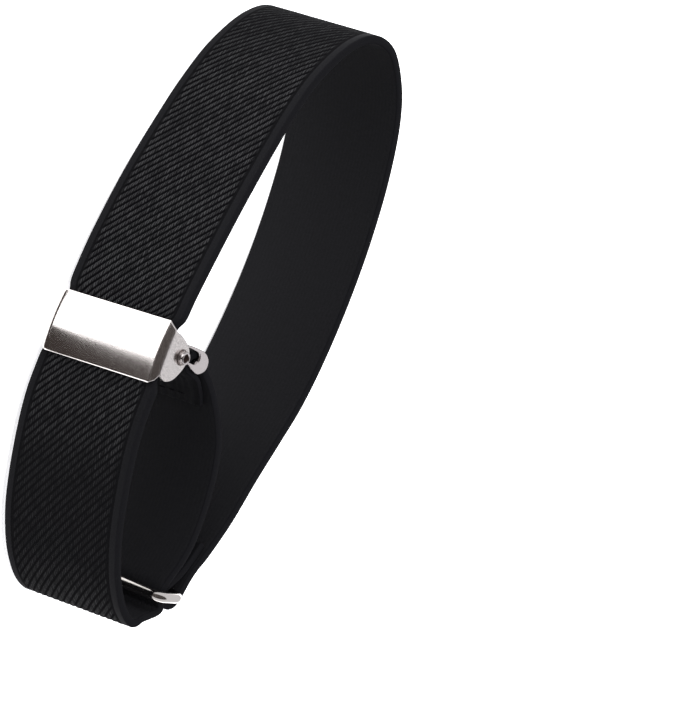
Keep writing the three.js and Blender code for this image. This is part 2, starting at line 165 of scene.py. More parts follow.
# Ear of the cover plate and flange of the lever, u and v
EAR_OUTLINE = [
    (4.05, 0.35), (4.3, 1.1), (4.5, 2.1), (4.1, 3.3), (3.2, 4.4), (1.2, 5.6), (-0.9, 6.0),
    (-2.6, 4.9), (-3.7, 2.3), (-3.95, 0.7),
]
FLANGE_OUTLINE = [
    (2.4, 2.1), (2.0, 4.2), (0.7, 5.8), (0.1, 7.5), (0.6, 9.2), (0.8, 11.1), (-0.4, 12.7),
    (-2.1, 12.6), (-3.1, 11.0), (-3.2, 8.6), (-2.9, 5.4), (-1.9, 2.6),
]

LEAN_ANGLE = math.atan(ADJUSTER_LEAN / STRAP_WIDTH)
SKEW_ANGLE = math.atan(ADJUSTER_SKEW / STRAP_WIDTH)


def colour(hex_text):
    """Linear RGBA from an sRGB hex value."""
    parts = [int(hex_text[i:i + 2], 16) / 255 for i in (1, 3, 5)]
    return (*[c / 12.92 if c <= 0.04045 else ((c + 0.055) / 1.055) ** 2.4 for c in parts], 1.0)


def table_origin():
    """Where the run tables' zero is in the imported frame, in millimetres, from the ring's box."""
    low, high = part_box("slide_ring")
    ring_middle = Vector(((FAR_BAR[0] + NEAR_BAR[0]) / 2, (FAR_BAR[1] + NEAR_BAR[1]) / 2,
                          RING_HEIGHT / 2))
    return (low + high) / 2 / MM - ring_middle


ORIGIN = table_origin()
ADJUSTER = (
    Matrix.Translation(ORIGIN + Vector(ADJUSTER_AT))
    @ Matrix.Rotation(ADJUSTER_TURN, 4, "Z")
    @ Matrix.Rotation(-LEAN_ANGLE, 4, "X")
    @ Matrix.Rotation(-SKEW_ANGLE, 4, "Y")
)


# Meshes

def hem_turn(bar, bar_radius, from_degrees, row):
    """Rows of a hem that is folded round an upright bar."""
    radius = bar_radius + LAYER_GAP + STRAP_THICKNESS / 2
    steps = 6
    angles = [math.radians(from_degrees + 180 * k / steps) for k in range(steps + 1)]
    return [(bar[0] + radius * math.cos(a), bar[1] + radius * math.sin(a), *row) for a in angles]


def strap_rows():
    """All rows of the strap's run, from the hem at the ring to the hem at the lever."""
    turn = Matrix.Rotation(ADJUSTER_TURN, 2)
    bar = turn @ Vector(REAR_BAR) + Vector(ADJUSTER_AT[:2])
    drop = REAR_BAR[1] * math.sin(LEAN_ANGLE)
    at_ring = (RING_HEIGHT / 2, PINCHED_WIDTH, 0, 0)
    at_lever = (ADJUSTER_AT[2] - drop, HEM_WIDTH, -ADJUSTER_SKEW, ADJUSTER_LEAN)
    rows = [
        *RING_HEM_END, *hem_turn(FAR_BAR, WIRE_RADIUS + RING_HEM_SLACK, RING_HEM_START, at_ring),
        *BACK_RUN, *TOP_FOLD, *FRONT_RUN, *BOTTOM_FOLD, *INNER_RUN,
        *hem_turn(bar, REAR_BAR_RADIUS, LEVER_HEM_START, at_lever), *LEVER_HEM_END,
    ]
    return np.array(rows, float)


class Run:
    """The strap's route: place, direction, height, width and lean at any length along it."""

    def __init__(self, rows, per_row=80):
        padded = np.vstack([2 * rows[0] - rows[1], rows, 2 * rows[-1] - rows[-2]])
        found = []
        for k in range(len(rows) - 1):
            p0, p1, p2, p3 = padded[k:k + 4]
            t = np.linspace(0, 1, per_row, endpoint=k == len(rows) - 2)[:, None]
            pairs = (p0, p1), (p1, p2), (p2, p3)
            d0, d1, d2 = (math.dist(a[:2], b[:2]) ** 0.5 for a, b in pairs)
            m1 = ((p1 - p0) / d0 - (p2 - p0) / (d0 + d1) + (p2 - p1) / d1) * d1
            m2 = ((p2 - p1) / d1 - (p3 - p1) / (d1 + d2) + (p3 - p2) / d2) * d1
            m1[2:], m2[2:] = (p2 - p0)[2:] / 2, (p3 - p1)[2:] / 2
            found.append(p1 + m1 * t + (3 * (p2 - p1) - 2 * m1 - m2) * t ** 2
                         + (2 * (p1 - p2) + m1 + m2) * t ** 3)
        self.points = np.vstack(found)
        steps = np.linalg.norm(np.diff(self.points[:, :2], axis=0), axis=1)
        self.along = np.concatenate([[0], np.cumsum(steps)])
        self.length = self.along[-1]
        slope = np.gradient(self.points[:, :2], self.along, axis=0)
        self.slope = slope / np.linalg.norm(slope, axis=1)[:, None]

    def at(self, s):
        """Columns x, y, mid, width, lean x, lean y, tangent x, tangent y for lengths s."""
        table = np.hstack([self.points, self.slope])
        found = np.stack([np.interp(s, self.along, table[:, k]) for k in range(8)], axis=-1)
        found[..., 6:] /= np.linalg.norm(found[..., 6:], axis=-1, keepdims=True)
        return found

    def surface(self, s, across, out):
        """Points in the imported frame, in millimetres: across is from -0.5 to 0.5 of the width and
        out is the distance from the cloth's middle towards its outer face."""
        r = self.at(s)
        up = across * r[..., 3]
        x = r[..., 0] + r[..., 7] * out + r[..., 4] * up / STRAP_WIDTH
        y = r[..., 1] - r[..., 6] * out + r[..., 5] * up / STRAP_WIDTH
        z = r[..., 2] + up
        return np.stack([x + ORIGIN.x, y + ORIGIN.y, z + ORIGIN.z], axis=-1)

    def nearest(self, point, low, high):
        """Length along the run, between low and high, that is nearest to a point in x and y."""
        inside = (self.along >= low) & (self.along <= high)
        gaps = np.linalg.norm(self.points[:, :2] - point, axis=1)
        return self.along[np.argmin(np.where(inside, gaps, np.inf))]


RUN = Run(strap_rows())


def finished(name, mesh, materials, smooth_angle=None):
    """A new object of a mesh that is in metres, with its materials and shading."""
    for polygon in mesh.polygons:
        polygon.use_smooth = True
    if smooth_angle is not None:
        mesh.set_sharp_from_angle(angle=math.radians(smooth_angle))
    made = bpy.data.objects.new(name, mesh)
    bpy.context.scene.collection.objects.link(made)
    for material in materials:
        mesh.materials.append(material)
    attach(made, "root")
    return made


def grid_faces(columns, rows, close_columns=False):
    """Four-sided faces that join columns of points into a tube, numbered column by column."""
    c = np.arange(columns if close_columns else columns - 1)[:, None]
    r = np.arange(rows)[None, :]
    c2, r2 = (c + 1) % columns, (r + 1) % rows
    corners = [c * rows + r, c2 * rows + r, c2 * rows + r2, c * rows + r2]
    return np.stack(corners, -1).reshape(-1, 4)


def swept(bm, rings, closed):
    """Adds a tube through rings of points to a bmesh, with end caps unless it is closed, and
    gives back its faces, the caps last."""
    sides = len(rings[0])
    verts = [bm.verts.new(p) for ring in rings for p in ring]
    made = [bm.faces.new([verts[i] for i in face])
            for face in grid_faces(len(rings), sides, closed)]
    if not closed:
        made += [bm.faces.new(verts[:sides]), bm.faces.new(verts[-sides:][::-1])]
    return made


def smooth_line(points, per_step=6, closed=False):
    """A smooth line through points, sampled."""
    count = len(points)
    found = []
    for k in range(count if closed else count - 1):
        if closed:
            p0, p1, p2, p3 = (Vector(points[(k + j) % count]) for j in (-1, 0, 1, 2))
        else:
            p1, p2 = Vector(points[k]), Vector(points[k + 1])
            p0 = Vector(points[k - 1]) if k else 2 * p1 - p2
            p3 = Vector(points[k + 2]) if k + 2 < count else 2 * p2 - p1
        m1, m2 = (p2 - p0) / 2, (p3 - p1) / 2
        for step in range(per_step):
            t = step / per_step
            found.append(p1 + m1 * t + (3 * (p2 - p1) - 2 * m1 - m2) * t ** 2
                         + (2 * (p1 - p2) + m1 + m2) * t ** 3)
    if not closed:
        found.append(Vector(points[-1]))
    return [tuple(p) for p in found]


def circle(centre, radius, sides=40):
    """Points of a round hole."""
    turns = [2 * math.pi * k / sides for k in range(sides)]
    return [(centre[0] + radius * math.cos(a), centre[1] + radius * math.sin(a)) for a in turns]


def pressed_sheet(outlines, thickness, edge_round):
    """A bmesh of flat sheet metal in X and Y, in millimetres, cut to outlines, with rounded edges.
    The first outline is the outside and the others are holes."""
    curve = bpy.data.curves.new("sheet_outline", "CURVE")
    curve.dimensions = "2D"
    curve.fill_mode = "BOTH"
    curve.extrude = thickness / 2 - edge_round
    curve.bevel_depth = edge_round
    curve.bevel_resolution = 3
    curve.offset = -edge_round
    for outline in outlines:
        spline = curve.splines.new("POLY")
        spline.points.add(len(outline) - 1)
        for point, (x, y) in zip(spline.points, outline):
            point.co = (x, y, 0, 1)
        spline.use_cyclic_u = True
    holder = bpy.data.objects.new("sheet_outline", curve)
    bpy.context.scene.collection.objects.link(holder)
    bpy.context.view_layer.update()
    evaluated = holder.evaluated_get(bpy.context.evaluated_depsgraph_get())
    mesh = bpy.data.meshes.new_from_object(evaluated)
    bm = bmesh.new()
    bm.from_mesh(mesh)
    bpy.data.objects.remove(holder)
    bpy.data.curves.remove(curve)
    bpy.data.meshes.remove(mesh)
    bmesh.ops.remove_doubles(bm, verts=bm.verts, dist=0.002)
    bmesh.ops.dissolve_limit(bm, angle_limit=math.radians(0.5), verts=bm.verts, edges=bm.edges)
    bmesh.ops.recalc_face_normals(bm, faces=bm.faces)
    return bm


def crease(bm, axis, places):
    """Cuts every face along planes across X (axis 0) or Y (axis 1), so that the sheet can bend."""
    normal = (1, 0, 0) if axis == 0 else (0, 1, 0)
    for spot in places:
        at = tuple(spot * n for n in normal)
        everything = bm.verts[:] + bm.edges[:] + bm.faces[:]
        bmesh.ops.bisect_plane(bm, geom=everything, dist=1e-4, plane_co=at, plane_no=normal)


def place(bm, mapping):
    """Moves every vertex by a mapping from its millimetre place to a new one."""
    for vert in bm.verts:
        vert.co = mapping(*vert.co)


def to_mesh(bm, name):
    """A mesh in metres from a bmesh in millimetres."""
    bmesh.ops.scale(bm, vec=(MM, MM, MM), verts=bm.verts)
    bmesh.ops.recalc_face_normals(bm, faces=bm.faces)
    mesh = bpy.data.meshes.new(name)
    bm.to_mesh(mesh)
    bm.free()
    return mesh


# Materials

def feed(tree, made, inputs):
    """Fills a node's inputs, by name or number: a socket, or a node's first output, is linked, and
    a value is set."""
    for key, value in inputs.items():
        if isinstance(value, bpy.types.Node):
            value = value.outputs[0]
        if isinstance(value, bpy.types.NodeSocket):
            tree.links.new(value, made.inputs[key])
        else:
            made.inputs[key].default_value = value


def node(tree, kind, inputs=None, **settings):
    """Adds one node with its settings and inputs."""
    made = tree.nodes.new(kind)
    for key, value in settings.items():
        setattr(made, key, value)
    feed(tree, made, inputs or {})
    return made


def blank(name):
    """A new material, its node tree and its shader."""
    material = bpy.data.materials.new(name)
    material.use_nodes = True
    tree = material.node_tree
    tree.nodes.clear()
    shader = node(tree, "ShaderNodeBsdfPrincipled")
    node(tree, "ShaderNodeOutputMaterial", {"Surface": shader})
    return material, tree, shader


def cloth_place(tree):
    """The cloth's own coordinates in millimetres: X along the strap, Y round it from the lower
    rim."""
    uv = node(tree, "ShaderNodeUVMap", uv_map="cloth")
    return node(tree, "ShaderNodeMapping", {
        "Vector": uv, "Scale": (UV_UNIT, UV_UNIT, 1), "Location": (0, RIM_ROUND, 0),
    })


# A wave texture's bands repeat every 0.314 units at scale 1
WAVE_PERIOD = math.pi / 10


def matt_yarn(sheen):
    """Dyed polyester yarn: almost no mirror, only a thin bloom at grazing angles."""
    return {
        "Roughness": 0.78, "IOR": 1.5, "Sheen Weight": sheen, "Sheen Roughness": 0.45,
        "Sheen Tint": colour("#8c8d94"),
    }


def twill_face(cfg):
    """Woven elastic, twill side: slanting ribs, each a chain of yarn floats. A float's top is
    painted grey, a painted highlight where it catches the light, and the gaps between them are
    painted black, a painted shade, so the eye reads dashes. Real floats lie nearer to 0.3 mm apart:
    they are drawn at 0.4 mm, to show at all."""
    # In floats or ribs: how far a rib's floats are staggered from its neighbour's, how far they
    # sway, and where on its pitch the modelled rib has its crest
    stagger, sway_reach, crest_at = 0.37, 1.6, 0.45
    material, tree, shader = blank("woven_elastic_twill")
    mm = cloth_place(tree)
    split = node(tree, "ShaderNodeSeparateXYZ", {0: mm})
    along, across = split.outputs["X"], split.outputs["Y"]
    slanted = node(tree, "ShaderNodeMath", {
        0: across, 1: cfg.rib_slant, 2: along,
    }, operation="MULTIPLY_ADD")
    rib = node(tree, "ShaderNodeMath", {0: slanted, 1: cfg.rib_pitch / MM}, operation="DIVIDE")
    rib_number = node(tree, "ShaderNodeMath", {0: rib}, operation="FLOOR")
    floats = node(tree, "ShaderNodeMath", {
        0: across, 1: cfg.float_pitch / MM,
    }, operation="DIVIDE")
    staggered = node(tree, "ShaderNodeMath", {
        0: rib_number, 1: stagger, 2: floats,
    }, operation="MULTIPLY_ADD")
    sway = node(tree, "ShaderNodeTexNoise", {"Vector": mm, "Scale": 0.9, "Detail": 1})
    swayed = node(tree, "ShaderNodeMath", {
        0: sway, 1: sway_reach, 2: staggered,
    }, operation="MULTIPLY_ADD")
    float_number = node(tree, "ShaderNodeMath", {0: swayed}, operation="FLOOR")
    cell = node(tree, "ShaderNodeCombineXYZ", {"X": rib_number, "Y": float_number})
    chance = node(tree, "ShaderNodeTexWhiteNoise", {"Vector": cell}, noise_dimensions="2D")
    centred = node(tree, "ShaderNodeMath", {0: rib, 1: 0.5 - crest_at}, operation="ADD")
    over_rib = node(tree, "ShaderNodeMath", {0: centred, 1: 0.5}, operation="PINGPONG")
    over_float = node(tree, "ShaderNodeMath", {0: swayed, 1: 0.5}, operation="PINGPONG")
    rib_top = node(tree, "ShaderNodeMapRange", {
        "Value": over_rib, "From Min": 0.08, "From Max": 0.34,
    }, interpolation_type="SMOOTHSTEP")
    float_top = node(tree, "ShaderNodeMapRange", {
        "Value": over_float, "From Min": 0.08, "From Max": 0.36, "To Min": 0.1,
    }, interpolation_type="SMOOTHSTEP")
    uneven = node(tree, "ShaderNodeMapRange", {"Value": chance, "To Min": 0.45, "To Max": 1.3})
    crest = node(tree, "ShaderNodeMath", {0: rib_top, 1: float_top}, operation="MULTIPLY")
    lit = node(tree, "ShaderNodeMath", {0: crest, 1: uneven}, operation="MULTIPLY")
    # Where the ribs fade out, their painted highlights fade too, and the face is plain dark cloth
    relief_and_highlight = node(tree, "ShaderNodeAttribute", attribute_name="relief_and_highlight")
    shown = node(tree, "ShaderNodeMix", {
        "Factor": relief_and_highlight.outputs["Fac"], 2: 0.06, 3: lit,
    }, data_type="FLOAT")
    fuzz = node(tree, "ShaderNodeTexNoise", {"Vector": mm, "Scale": 3.4, "Detail": 3})
    grain = node(tree, "ShaderNodeMapRange", {
        "Value": fuzz, "From Min": 0.25, "From Max": 0.75, "To Min": 0.6, "To Max": 1.4,
    })
    yarn = node(tree, "ShaderNodeMath", {
        0: shown, 1: grain,
    }, operation="MULTIPLY", use_clamp=True)
    # Painted light: the crest colour is a painted highlight on the floats' tops, and the valley
    # colour is painted shade between them
    tint = node(tree, "ShaderNodeMix", {
        "Factor": yarn, 6: cfg.valley_shade_colour, 7: cfg.crest_highlight_colour,
    }, data_type="RGBA")
    gloss = node(tree, "ShaderNodeMapRange", {"Value": yarn, "To Min": 0.0, "To Max": 0.1})
    bump = node(tree, "ShaderNodeBump", {"Height": yarn, "Strength": 0.7, "Distance": 0.1 * MM})
    feed(tree, shader, {
        "Base Color": tint.outputs[2], "Specular IOR Level": gloss, "Normal": bump,
        **matt_yarn(0.01),
    })
    return material


def plain_cloth(name, dark, light, line_pitch, direction, line_depth):
    """Woven elastic, plain side: matt black with faint even lines and a dusty mottle that keeps
    it from looking like paint. Its threads are finer than the render shows, so the lines are
    drawn further apart, at line_pitch millimetres."""
    material, tree, shader = blank(name)
    mm = cloth_place(tree)
    lines = node(tree, "ShaderNodeTexWave", {
        "Vector": mm, "Scale": WAVE_PERIOD / line_pitch, "Distortion": 2.0, "Detail": 2,
        "Detail Scale": 1.5,
    }, bands_direction=direction, wave_profile="SIN")
    fuzz = node(tree, "ShaderNodeTexNoise", {
        "Vector": mm, "Scale": 2.2, "Detail": 4, "Roughness": 0.7,
    })
    faint = node(tree, "ShaderNodeMapRange", {
        "Value": lines.outputs["Fac"], "To Min": 0.8, "To Max": 1.0,
    })
    blend = node(tree, "ShaderNodeMath", {0: faint, 1: fuzz}, operation="MULTIPLY")
    tint = node(tree, "ShaderNodeMix", {"Factor": blend, 6: dark, 7: light}, data_type="RGBA")
    bump = node(tree, "ShaderNodeBump", {
        "Height": blend, "Strength": 0.4, "Distance": line_depth * MM,
    })
    feed(tree, shader, {
        "Base Color": tint.outputs[2], "Normal": bump, "Specular IOR Level": 0.06,
        **matt_yarn(0.02),
    })
    return material


def nickel(name, tint, rough, grain_mm, grain_depth, mottle):
    """Nickel-plated steel: a warm pale metal whose fine grain breaks the edges of reflections.
    Real tumbling leaves marks of some hundredths of a millimetre: they are drawn coarser, at
    grain_mm, so that they show. mottle is how much darker the dullest specks are."""
    cloud_mm = 3.0
    material, tree, shader = blank(name)
    at = node(tree, "ShaderNodeTexCoord").outputs["Object"]
    grain = node(tree, "ShaderNodeTexNoise", {
        "Vector": at, "Scale": 1 / (grain_mm * MM), "Detail": 2, "Roughness": 0.6,
    })
    cloud = node(tree, "ShaderNodeTexNoise", {
        "Vector": at, "Scale": 1 / (cloud_mm * MM), "Detail": 3,
    })
    worn = node(tree, "ShaderNodeMapRange", {
        "Value": cloud, "From Min": 0.3, "From Max": 0.7, "To Min": rough * 0.96,
        "To Max": rough * 1.05,
    })
    speckle = node(tree, "ShaderNodeMapRange", {
        "Value": grain, "From Min": 0.3, "From Max": 0.7,
    })
    plating = node(tree, "ShaderNodeMix", {
        "Factor": speckle, 6: [c * (1 - mottle) for c in tint[:3]] + [1], 7: tint,
    }, data_type="RGBA")
    bump = node(tree, "ShaderNodeBump", {
        "Height": grain, "Strength": 0.6, "Distance": grain_depth * MM,
    })
    feed(tree, shader, {
        "Base Color": plating.outputs[2], "Roughness": worn, "Normal": bump, "Metallic": 1.0,
    })
    return material


def drilled_bore():
    """Drilled, unplated steel in the pin's hollow, dark and dull brown: partly the steel's own
    oxide and oil, partly painted shade for the deep recess.
    """
    cloud_mm = 0.4
    material, tree, shader = blank("oxide_and_shade_bore")
    at = node(tree, "ShaderNodeTexCoord").outputs["Object"]
    cloud = node(tree, "ShaderNodeTexNoise", {
        "Vector": at, "Scale": 1 / (cloud_mm * MM), "Detail": 2,
    })
    tint = node(tree, "ShaderNodeMix", {
        "Factor": cloud, 6: colour("#2a2220"), 7: colour("#5a4a44"),
    }, data_type="RGBA")
    feed(tree, shader, {"Base Color": tint.outputs[2], "Metallic": 0.6, "Roughness": 0.6})
    return material


def sewing_thread(cfg):
    """Polyester sewing thread: matt black with a fine twist, its bands painted a little lighter
    where they catch the light, a painted highlight, and darker between, a painted shade.
    """
    twist_mm = 0.25
    material, tree, shader = blank("polyester_thread")
    at = node(tree, "ShaderNodeTexCoord").outputs["Object"]
    twist = node(tree, "ShaderNodeTexWave", {
        "Vector": at, "Scale": WAVE_PERIOD / (twist_mm * MM),
    }, bands_direction="DIAGONAL").outputs["Fac"]
    bump = node(tree, "ShaderNodeBump", {
        "Height": twist, "Strength": 0.5, "Distance": 0.04 * MM,
    })
    tint = node(tree, "ShaderNodeMix", {
        "Factor": twist, 6: cfg.valley_shade_colour, 7: cfg.thread_colour,
    }, data_type="RGBA")
    feed(tree, shader, {
        "Base Color": tint.outputs[2], "Normal": bump, "Specular IOR Level": 0.05,
        **matt_yarn(0.0),
    })
    return material


def floor_paper(cfg):
    """Matt white paper with a soft tooth, which glows a little, as paper on a lit table does."""
    material, tree, shader = blank("paper_floor")
    at = node(tree, "ShaderNodeTexCoord").outputs["Object"]
    tooth = node(tree, "ShaderNodeTexNoise", {"Vector": at, "Scale": 112.5, "Detail": 2})
    bump = node(tree, "ShaderNodeBump", {
        "Height": tooth, "Strength": 0.1, "Distance": 0.03 * MM,
    })
    feed(tree, shader, {
        "Normal": bump, "Base Color": cfg.floor_colour, "Roughness": 0.9,
        "Emission Color": cfg.floor_colour, "Emission Strength": 0.52,
    })
    return material


# Settings

class StrapSettings(bpy.types.PropertyGroup):
    rib_pitch: FloatProperty(
        name="Rib pitch", description="From rib to rib along the strap", default=1.6 * MM,
        unit="LENGTH", subtype="DISTANCE")
    rib_slant: FloatProperty(
        name="Rib slant", description="Length along the strap that a rib falls per width",
        default=1.14, subtype="FACTOR")
    rib_height: FloatProperty(
        name="Rib height", description="Height of a rib's crest over its valley",
        default=0.22 * MM, unit="LENGTH", subtype="DISTANCE")
    float_pitch: FloatProperty(
        name="Float pitch", description="Spacing of the yarn floats on a rib, across the strap",
        default=0.4 * MM, unit="LENGTH", subtype="DISTANCE")
    selvedge: FloatProperty(
        name="Selvedge", description="Width of the plain band along each rim",
        default=1.85 * MM, unit="LENGTH", subtype="DISTANCE")
    stitch_length: FloatProperty(
        name="Stitch length", description="Length of a hem stitch", default=1.9 * MM,
        unit="LENGTH", subtype="DISTANCE")
    # The valley colour is painted shade between the ribs, and the crest colour is a painted
    # highlight on them
    valley_shade_colour: FloatVectorProperty(
        name="Valley colour", description="Cloth between the ribs", size=4, subtype="COLOR",
        default=colour("#060607"))
    crest_highlight_colour: FloatVectorProperty(
        name="Crest colour", description="Yarn on top of the ribs", size=4, subtype="COLOR",
        default=colour("#2a2a2b"))
    back_colour: FloatVectorProperty(
        name="Back colour", description="Smooth inner face of the strap", size=4,
        subtype="COLOR", default=colour("#0a0a0c"))
    selvedge_colour: FloatVectorProperty(
        name="Selvedge colour", description="Plain band along each rim", size=4,
        subtype="COLOR", default=colour("#08080a"))
    thread_colour: FloatVectorProperty(
        name="Thread colour", description="Hem stitches", size=4, subtype="COLOR",
        default=colour("#101012"))


class MetalSettings(bpy.types.PropertyGroup):
    plate_colour: FloatVectorProperty(
        name="Plate colour", description="Satin plating of the cover plate", size=4,
        subtype="COLOR", default=colour("#f7f1ed"))
    lever_colour: FloatVectorProperty(
        name="Lever colour", description="Tumbled plating of the lever", size=4,
        subtype="COLOR", default=colour("#e2dbd9"))
    wire_colour: FloatVectorProperty(
        name="Wire colour", description="Polished plating of the ring", size=4,
        subtype="COLOR", default=colour("#dfdad5"))
    plate_roughness: FloatProperty(
        name="Plate roughness", description="How much the plate blurs what it mirrors",
        default=0.2, min=0, max=1, subtype="FACTOR")
    edge_round: FloatProperty(
        name="Edge round", description="Radius of the sheet metal's edges", default=0.27 * MM,
        unit="LENGTH", subtype="DISTANCE")


class StageSettings(bpy.types.PropertyGroup):
    floor_colour: FloatVectorProperty(
        name="Floor colour", description="Plain paper floor", size=4, subtype="COLOR",
        default=colour("#f8f8f9"))
    light_power: FloatProperty(
        name="Light power", description="Share of the soft studio light", default=1.0, min=0,
        subtype="FACTOR")


# Operators

class GARTER_OT_strap(bpy.types.Operator):
    """Make the ribbed elastic strap with its selvedges and hems"""
    bl_idname = "garter.make_strap"
    bl_label = "Strap"

    def execute(self, context):
        cfg = context.scene.garter_strap
        pitch, slant = cfg.rib_pitch / MM, cfg.rib_slant
        band, height = cfg.selvedge / MM, cfg.rib_height / MM
        half = STRAP_THICKNESS / 2

        # Rows round the section: outer face upward, upper rim, inner face downward, lower rim
        edge_rows, rib_rows, inner_count = 3, 42, 20
        first, last = band + 0.5, STRAP_WIDTH - band - 0.5
        top = STRAP_WIDTH - RIM_ROUND
        edge = np.linspace(band * 0.6, band, edge_rows)
        outer = np.concatenate([[RIM_ROUND], edge, np.linspace(first, last, rib_rows),
                                np.linspace(STRAP_WIDTH - band, STRAP_WIDTH - band * 0.6,
                                            edge_rows), [top]])
        inner = np.linspace(top, RIM_ROUND, inner_count)
        turn = np.radians([70, 42, 0, -42, -70])
        rim_out = half * np.sign(turn) * np.abs(np.sin(turn)) ** 0.7
        rim_up = RIM_ROUND * np.cos(turn) ** 0.7
        up = np.concatenate([outer, top + rim_up, inner, RIM_ROUND - rim_up])
        out = np.concatenate([np.full(len(outer), half), rim_out, np.full(len(inner), -half),
                              -rim_out])
        ribbed = np.zeros(len(up))
        into_ribs, rib_fade = np.minimum(outer - band, STRAP_WIDTH - band - outer), 0.3
        ribbed[:len(outer)] = np.clip(into_ribs / rib_fade, 0, 1)

        # Columns run along the ribs, so that each crest and valley is one line of vertices
        per_rib = 5
        profile = height * np.array([-0.55, 0.2, 0.45, 0.4, 0.1])
        columns = int(math.ceil((RUN.length + slant * STRAP_WIDTH) / pitch * per_rib)) + 1
        along = np.arange(columns)[:, None] * pitch / per_rib - slant * up[None, :]
        along = np.clip(along, 0, RUN.length)
        phase = np.arange(columns) % per_rib
        row = RUN.at(along)

        # How high the ribs stand, and how strongly their painted crest highlights show: by place in
        # x on the front, and even on the rest. Along the front this is partly painted light: the
        # front darkens towards the bottom fold, as painted shade for light that comes from the top
        # fold's side.
        front_starts, fade_in, front_ends, fade_out, elsewhere = 90, 25, 255, 15, 0.6
        front = (np.clip((along - front_starts) / fade_in, 0, 1)
                 * np.clip((front_ends - along) / fade_out, 0, 1))
        by_place = np.interp(row[..., 0], [-54, -48, -38, 2, 22, 33, 44, 52],
                             [0.2, 0.45, 0.9, 1, 0.7, 0.22, 0.2, 0.2])
        from_end = RUN.length - along
        tail_length, tail_fade = 11, 2
        tail = np.clip((tail_length - from_end) / tail_fade, 0, 1)
        relief_and_highlight = (ribbed[None, :] * (by_place * front + elsewhere * (1 - front))
                  * (1 - tail))

        # The tail is gathered by its seams, and the inner face before it has soft pleats
        gather_depth, gather_pitch, uneven = 0.12, 1.9, np.sin(up * 0.9)
        gathers = (ribbed[None, :] * tail * gather_depth
                   * np.sin(up * 2 * math.pi / gather_pitch + uneven))
        pleat_depth, pleat_length, pleat_fade, pleat_reach = 0.1, 34, 16, 11
        pull = np.clip((pleat_length - from_end) / pleat_fade, 0, 1) * (1 - tail)
        pleated = ((out < 0) & (np.abs(up - STRAP_WIDTH / 2) < pleat_reach))[None, :]
        gathers = gathers + pleated * pull * pleat_depth * np.sin(up * 3.1 + uneven)

        # The nap stands out only where the strap has its full width
        full = np.clip(row[..., 3] - (STRAP_WIDTH - 1), 0, 1)
        lift = relief_and_highlight * profile[phase][:, None] + gathers
        lift = lift + 0.5 * PILE * full * (out > 0)[None, :]
        lift = lift - tail * HEM_PRESS * (out / STRAP_THICKNESS + 0.5)[None, :]
        lift_up = PILE * full * (up / STRAP_WIDTH)[None, :]

        points = RUN.surface(along, up[None, :] / STRAP_WIDTH - 0.5, out[None, :] + lift)
        points[..., 2] = np.maximum(points[..., 2] + lift_up, 0)
        rows = len(up)
        faces = grid_faces(columns, rows)
        mesh = bpy.data.meshes.new("woven_strap")
        mesh.from_pydata((points.reshape(-1, 3) * MM).tolist(), [], faces.tolist())

        # The cloth's own coordinates: along the strap and round its section
        gaps = np.hypot(np.diff(up, append=up[0]), np.diff(out, append=out[0]))
        round_it = np.concatenate([[0], np.cumsum(gaps)])
        corner_row = np.tile(np.stack([np.arange(rows), np.arange(rows), np.arange(rows) + 1,
                                       np.arange(rows) + 1], -1).reshape(-1), columns - 1)
        layer = mesh.uv_layers.new(name="cloth")
        uv = np.stack([along.reshape(-1)[faces.reshape(-1)], round_it[corner_row]], -1) / UV_UNIT
        layer.uv.foreach_set("vector", uv.astype(np.float32).ravel())

        # The attribute carries the ribs' height and the strength of their painted crest highlights
        strength = mesh.attributes.new("relief_and_highlight", "FLOAT", "POINT")
        strength.data.foreach_set("value", relief_and_highlight.astype(np.float32).ravel())

        # Material slots by row. The tails' outer faces take the plain back cloth, which is lighter
        # than the twill's painted-shade valleys: painted light that lifts the tails out of their
        # shade.
        twill, selvedge, plain = 0, 1, 2
        kind = np.full(rows, selvedge)
        kind[2:len(outer) - 3] = twill
        inner_starts = len(outer) + len(turn)
        kind[inner_starts:inner_starts + len(inner) - 1] = plain
        kinds = np.tile(kind, (columns - 1, 1))
        # Painted light: the tails wear the lighter plain cloth to lift them out of their shade
        kinds[(kinds == twill) & (tail[:-1] > 0.5)] = plain
        mesh.polygons.foreach_set("material_index", kinds.ravel().astype(np.int32))
        bm = bmesh.new()
        bm.from_mesh(mesh)
        bm.verts.ensure_lookup_table()
        bm.faces.new(bm.verts[:rows])
        bm.faces.new(bm.verts[-rows:][::-1])
        bmesh.ops.remove_doubles(bm, verts=bm.verts, dist=1e-6)
        bmesh.ops.recalc_face_normals(bm, faces=bm.faces)
        bm.to_mesh(mesh)
        bm.free()
        made = finished("woven_strap", mesh, [
            twill_face(cfg),
            plain_cloth("woven_elastic_selvedge", cfg.selvedge_colour, colour("#111113"),
                        line_pitch=0.5, direction="X", line_depth=0.005),
            plain_cloth("woven_elastic_back", cfg.back_colour, colour("#1c1c1e"),
                        line_pitch=0.8, direction="Y", line_depth=0.04),
        ])
        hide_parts("elastic_strap")
        return {"FINISHED"}


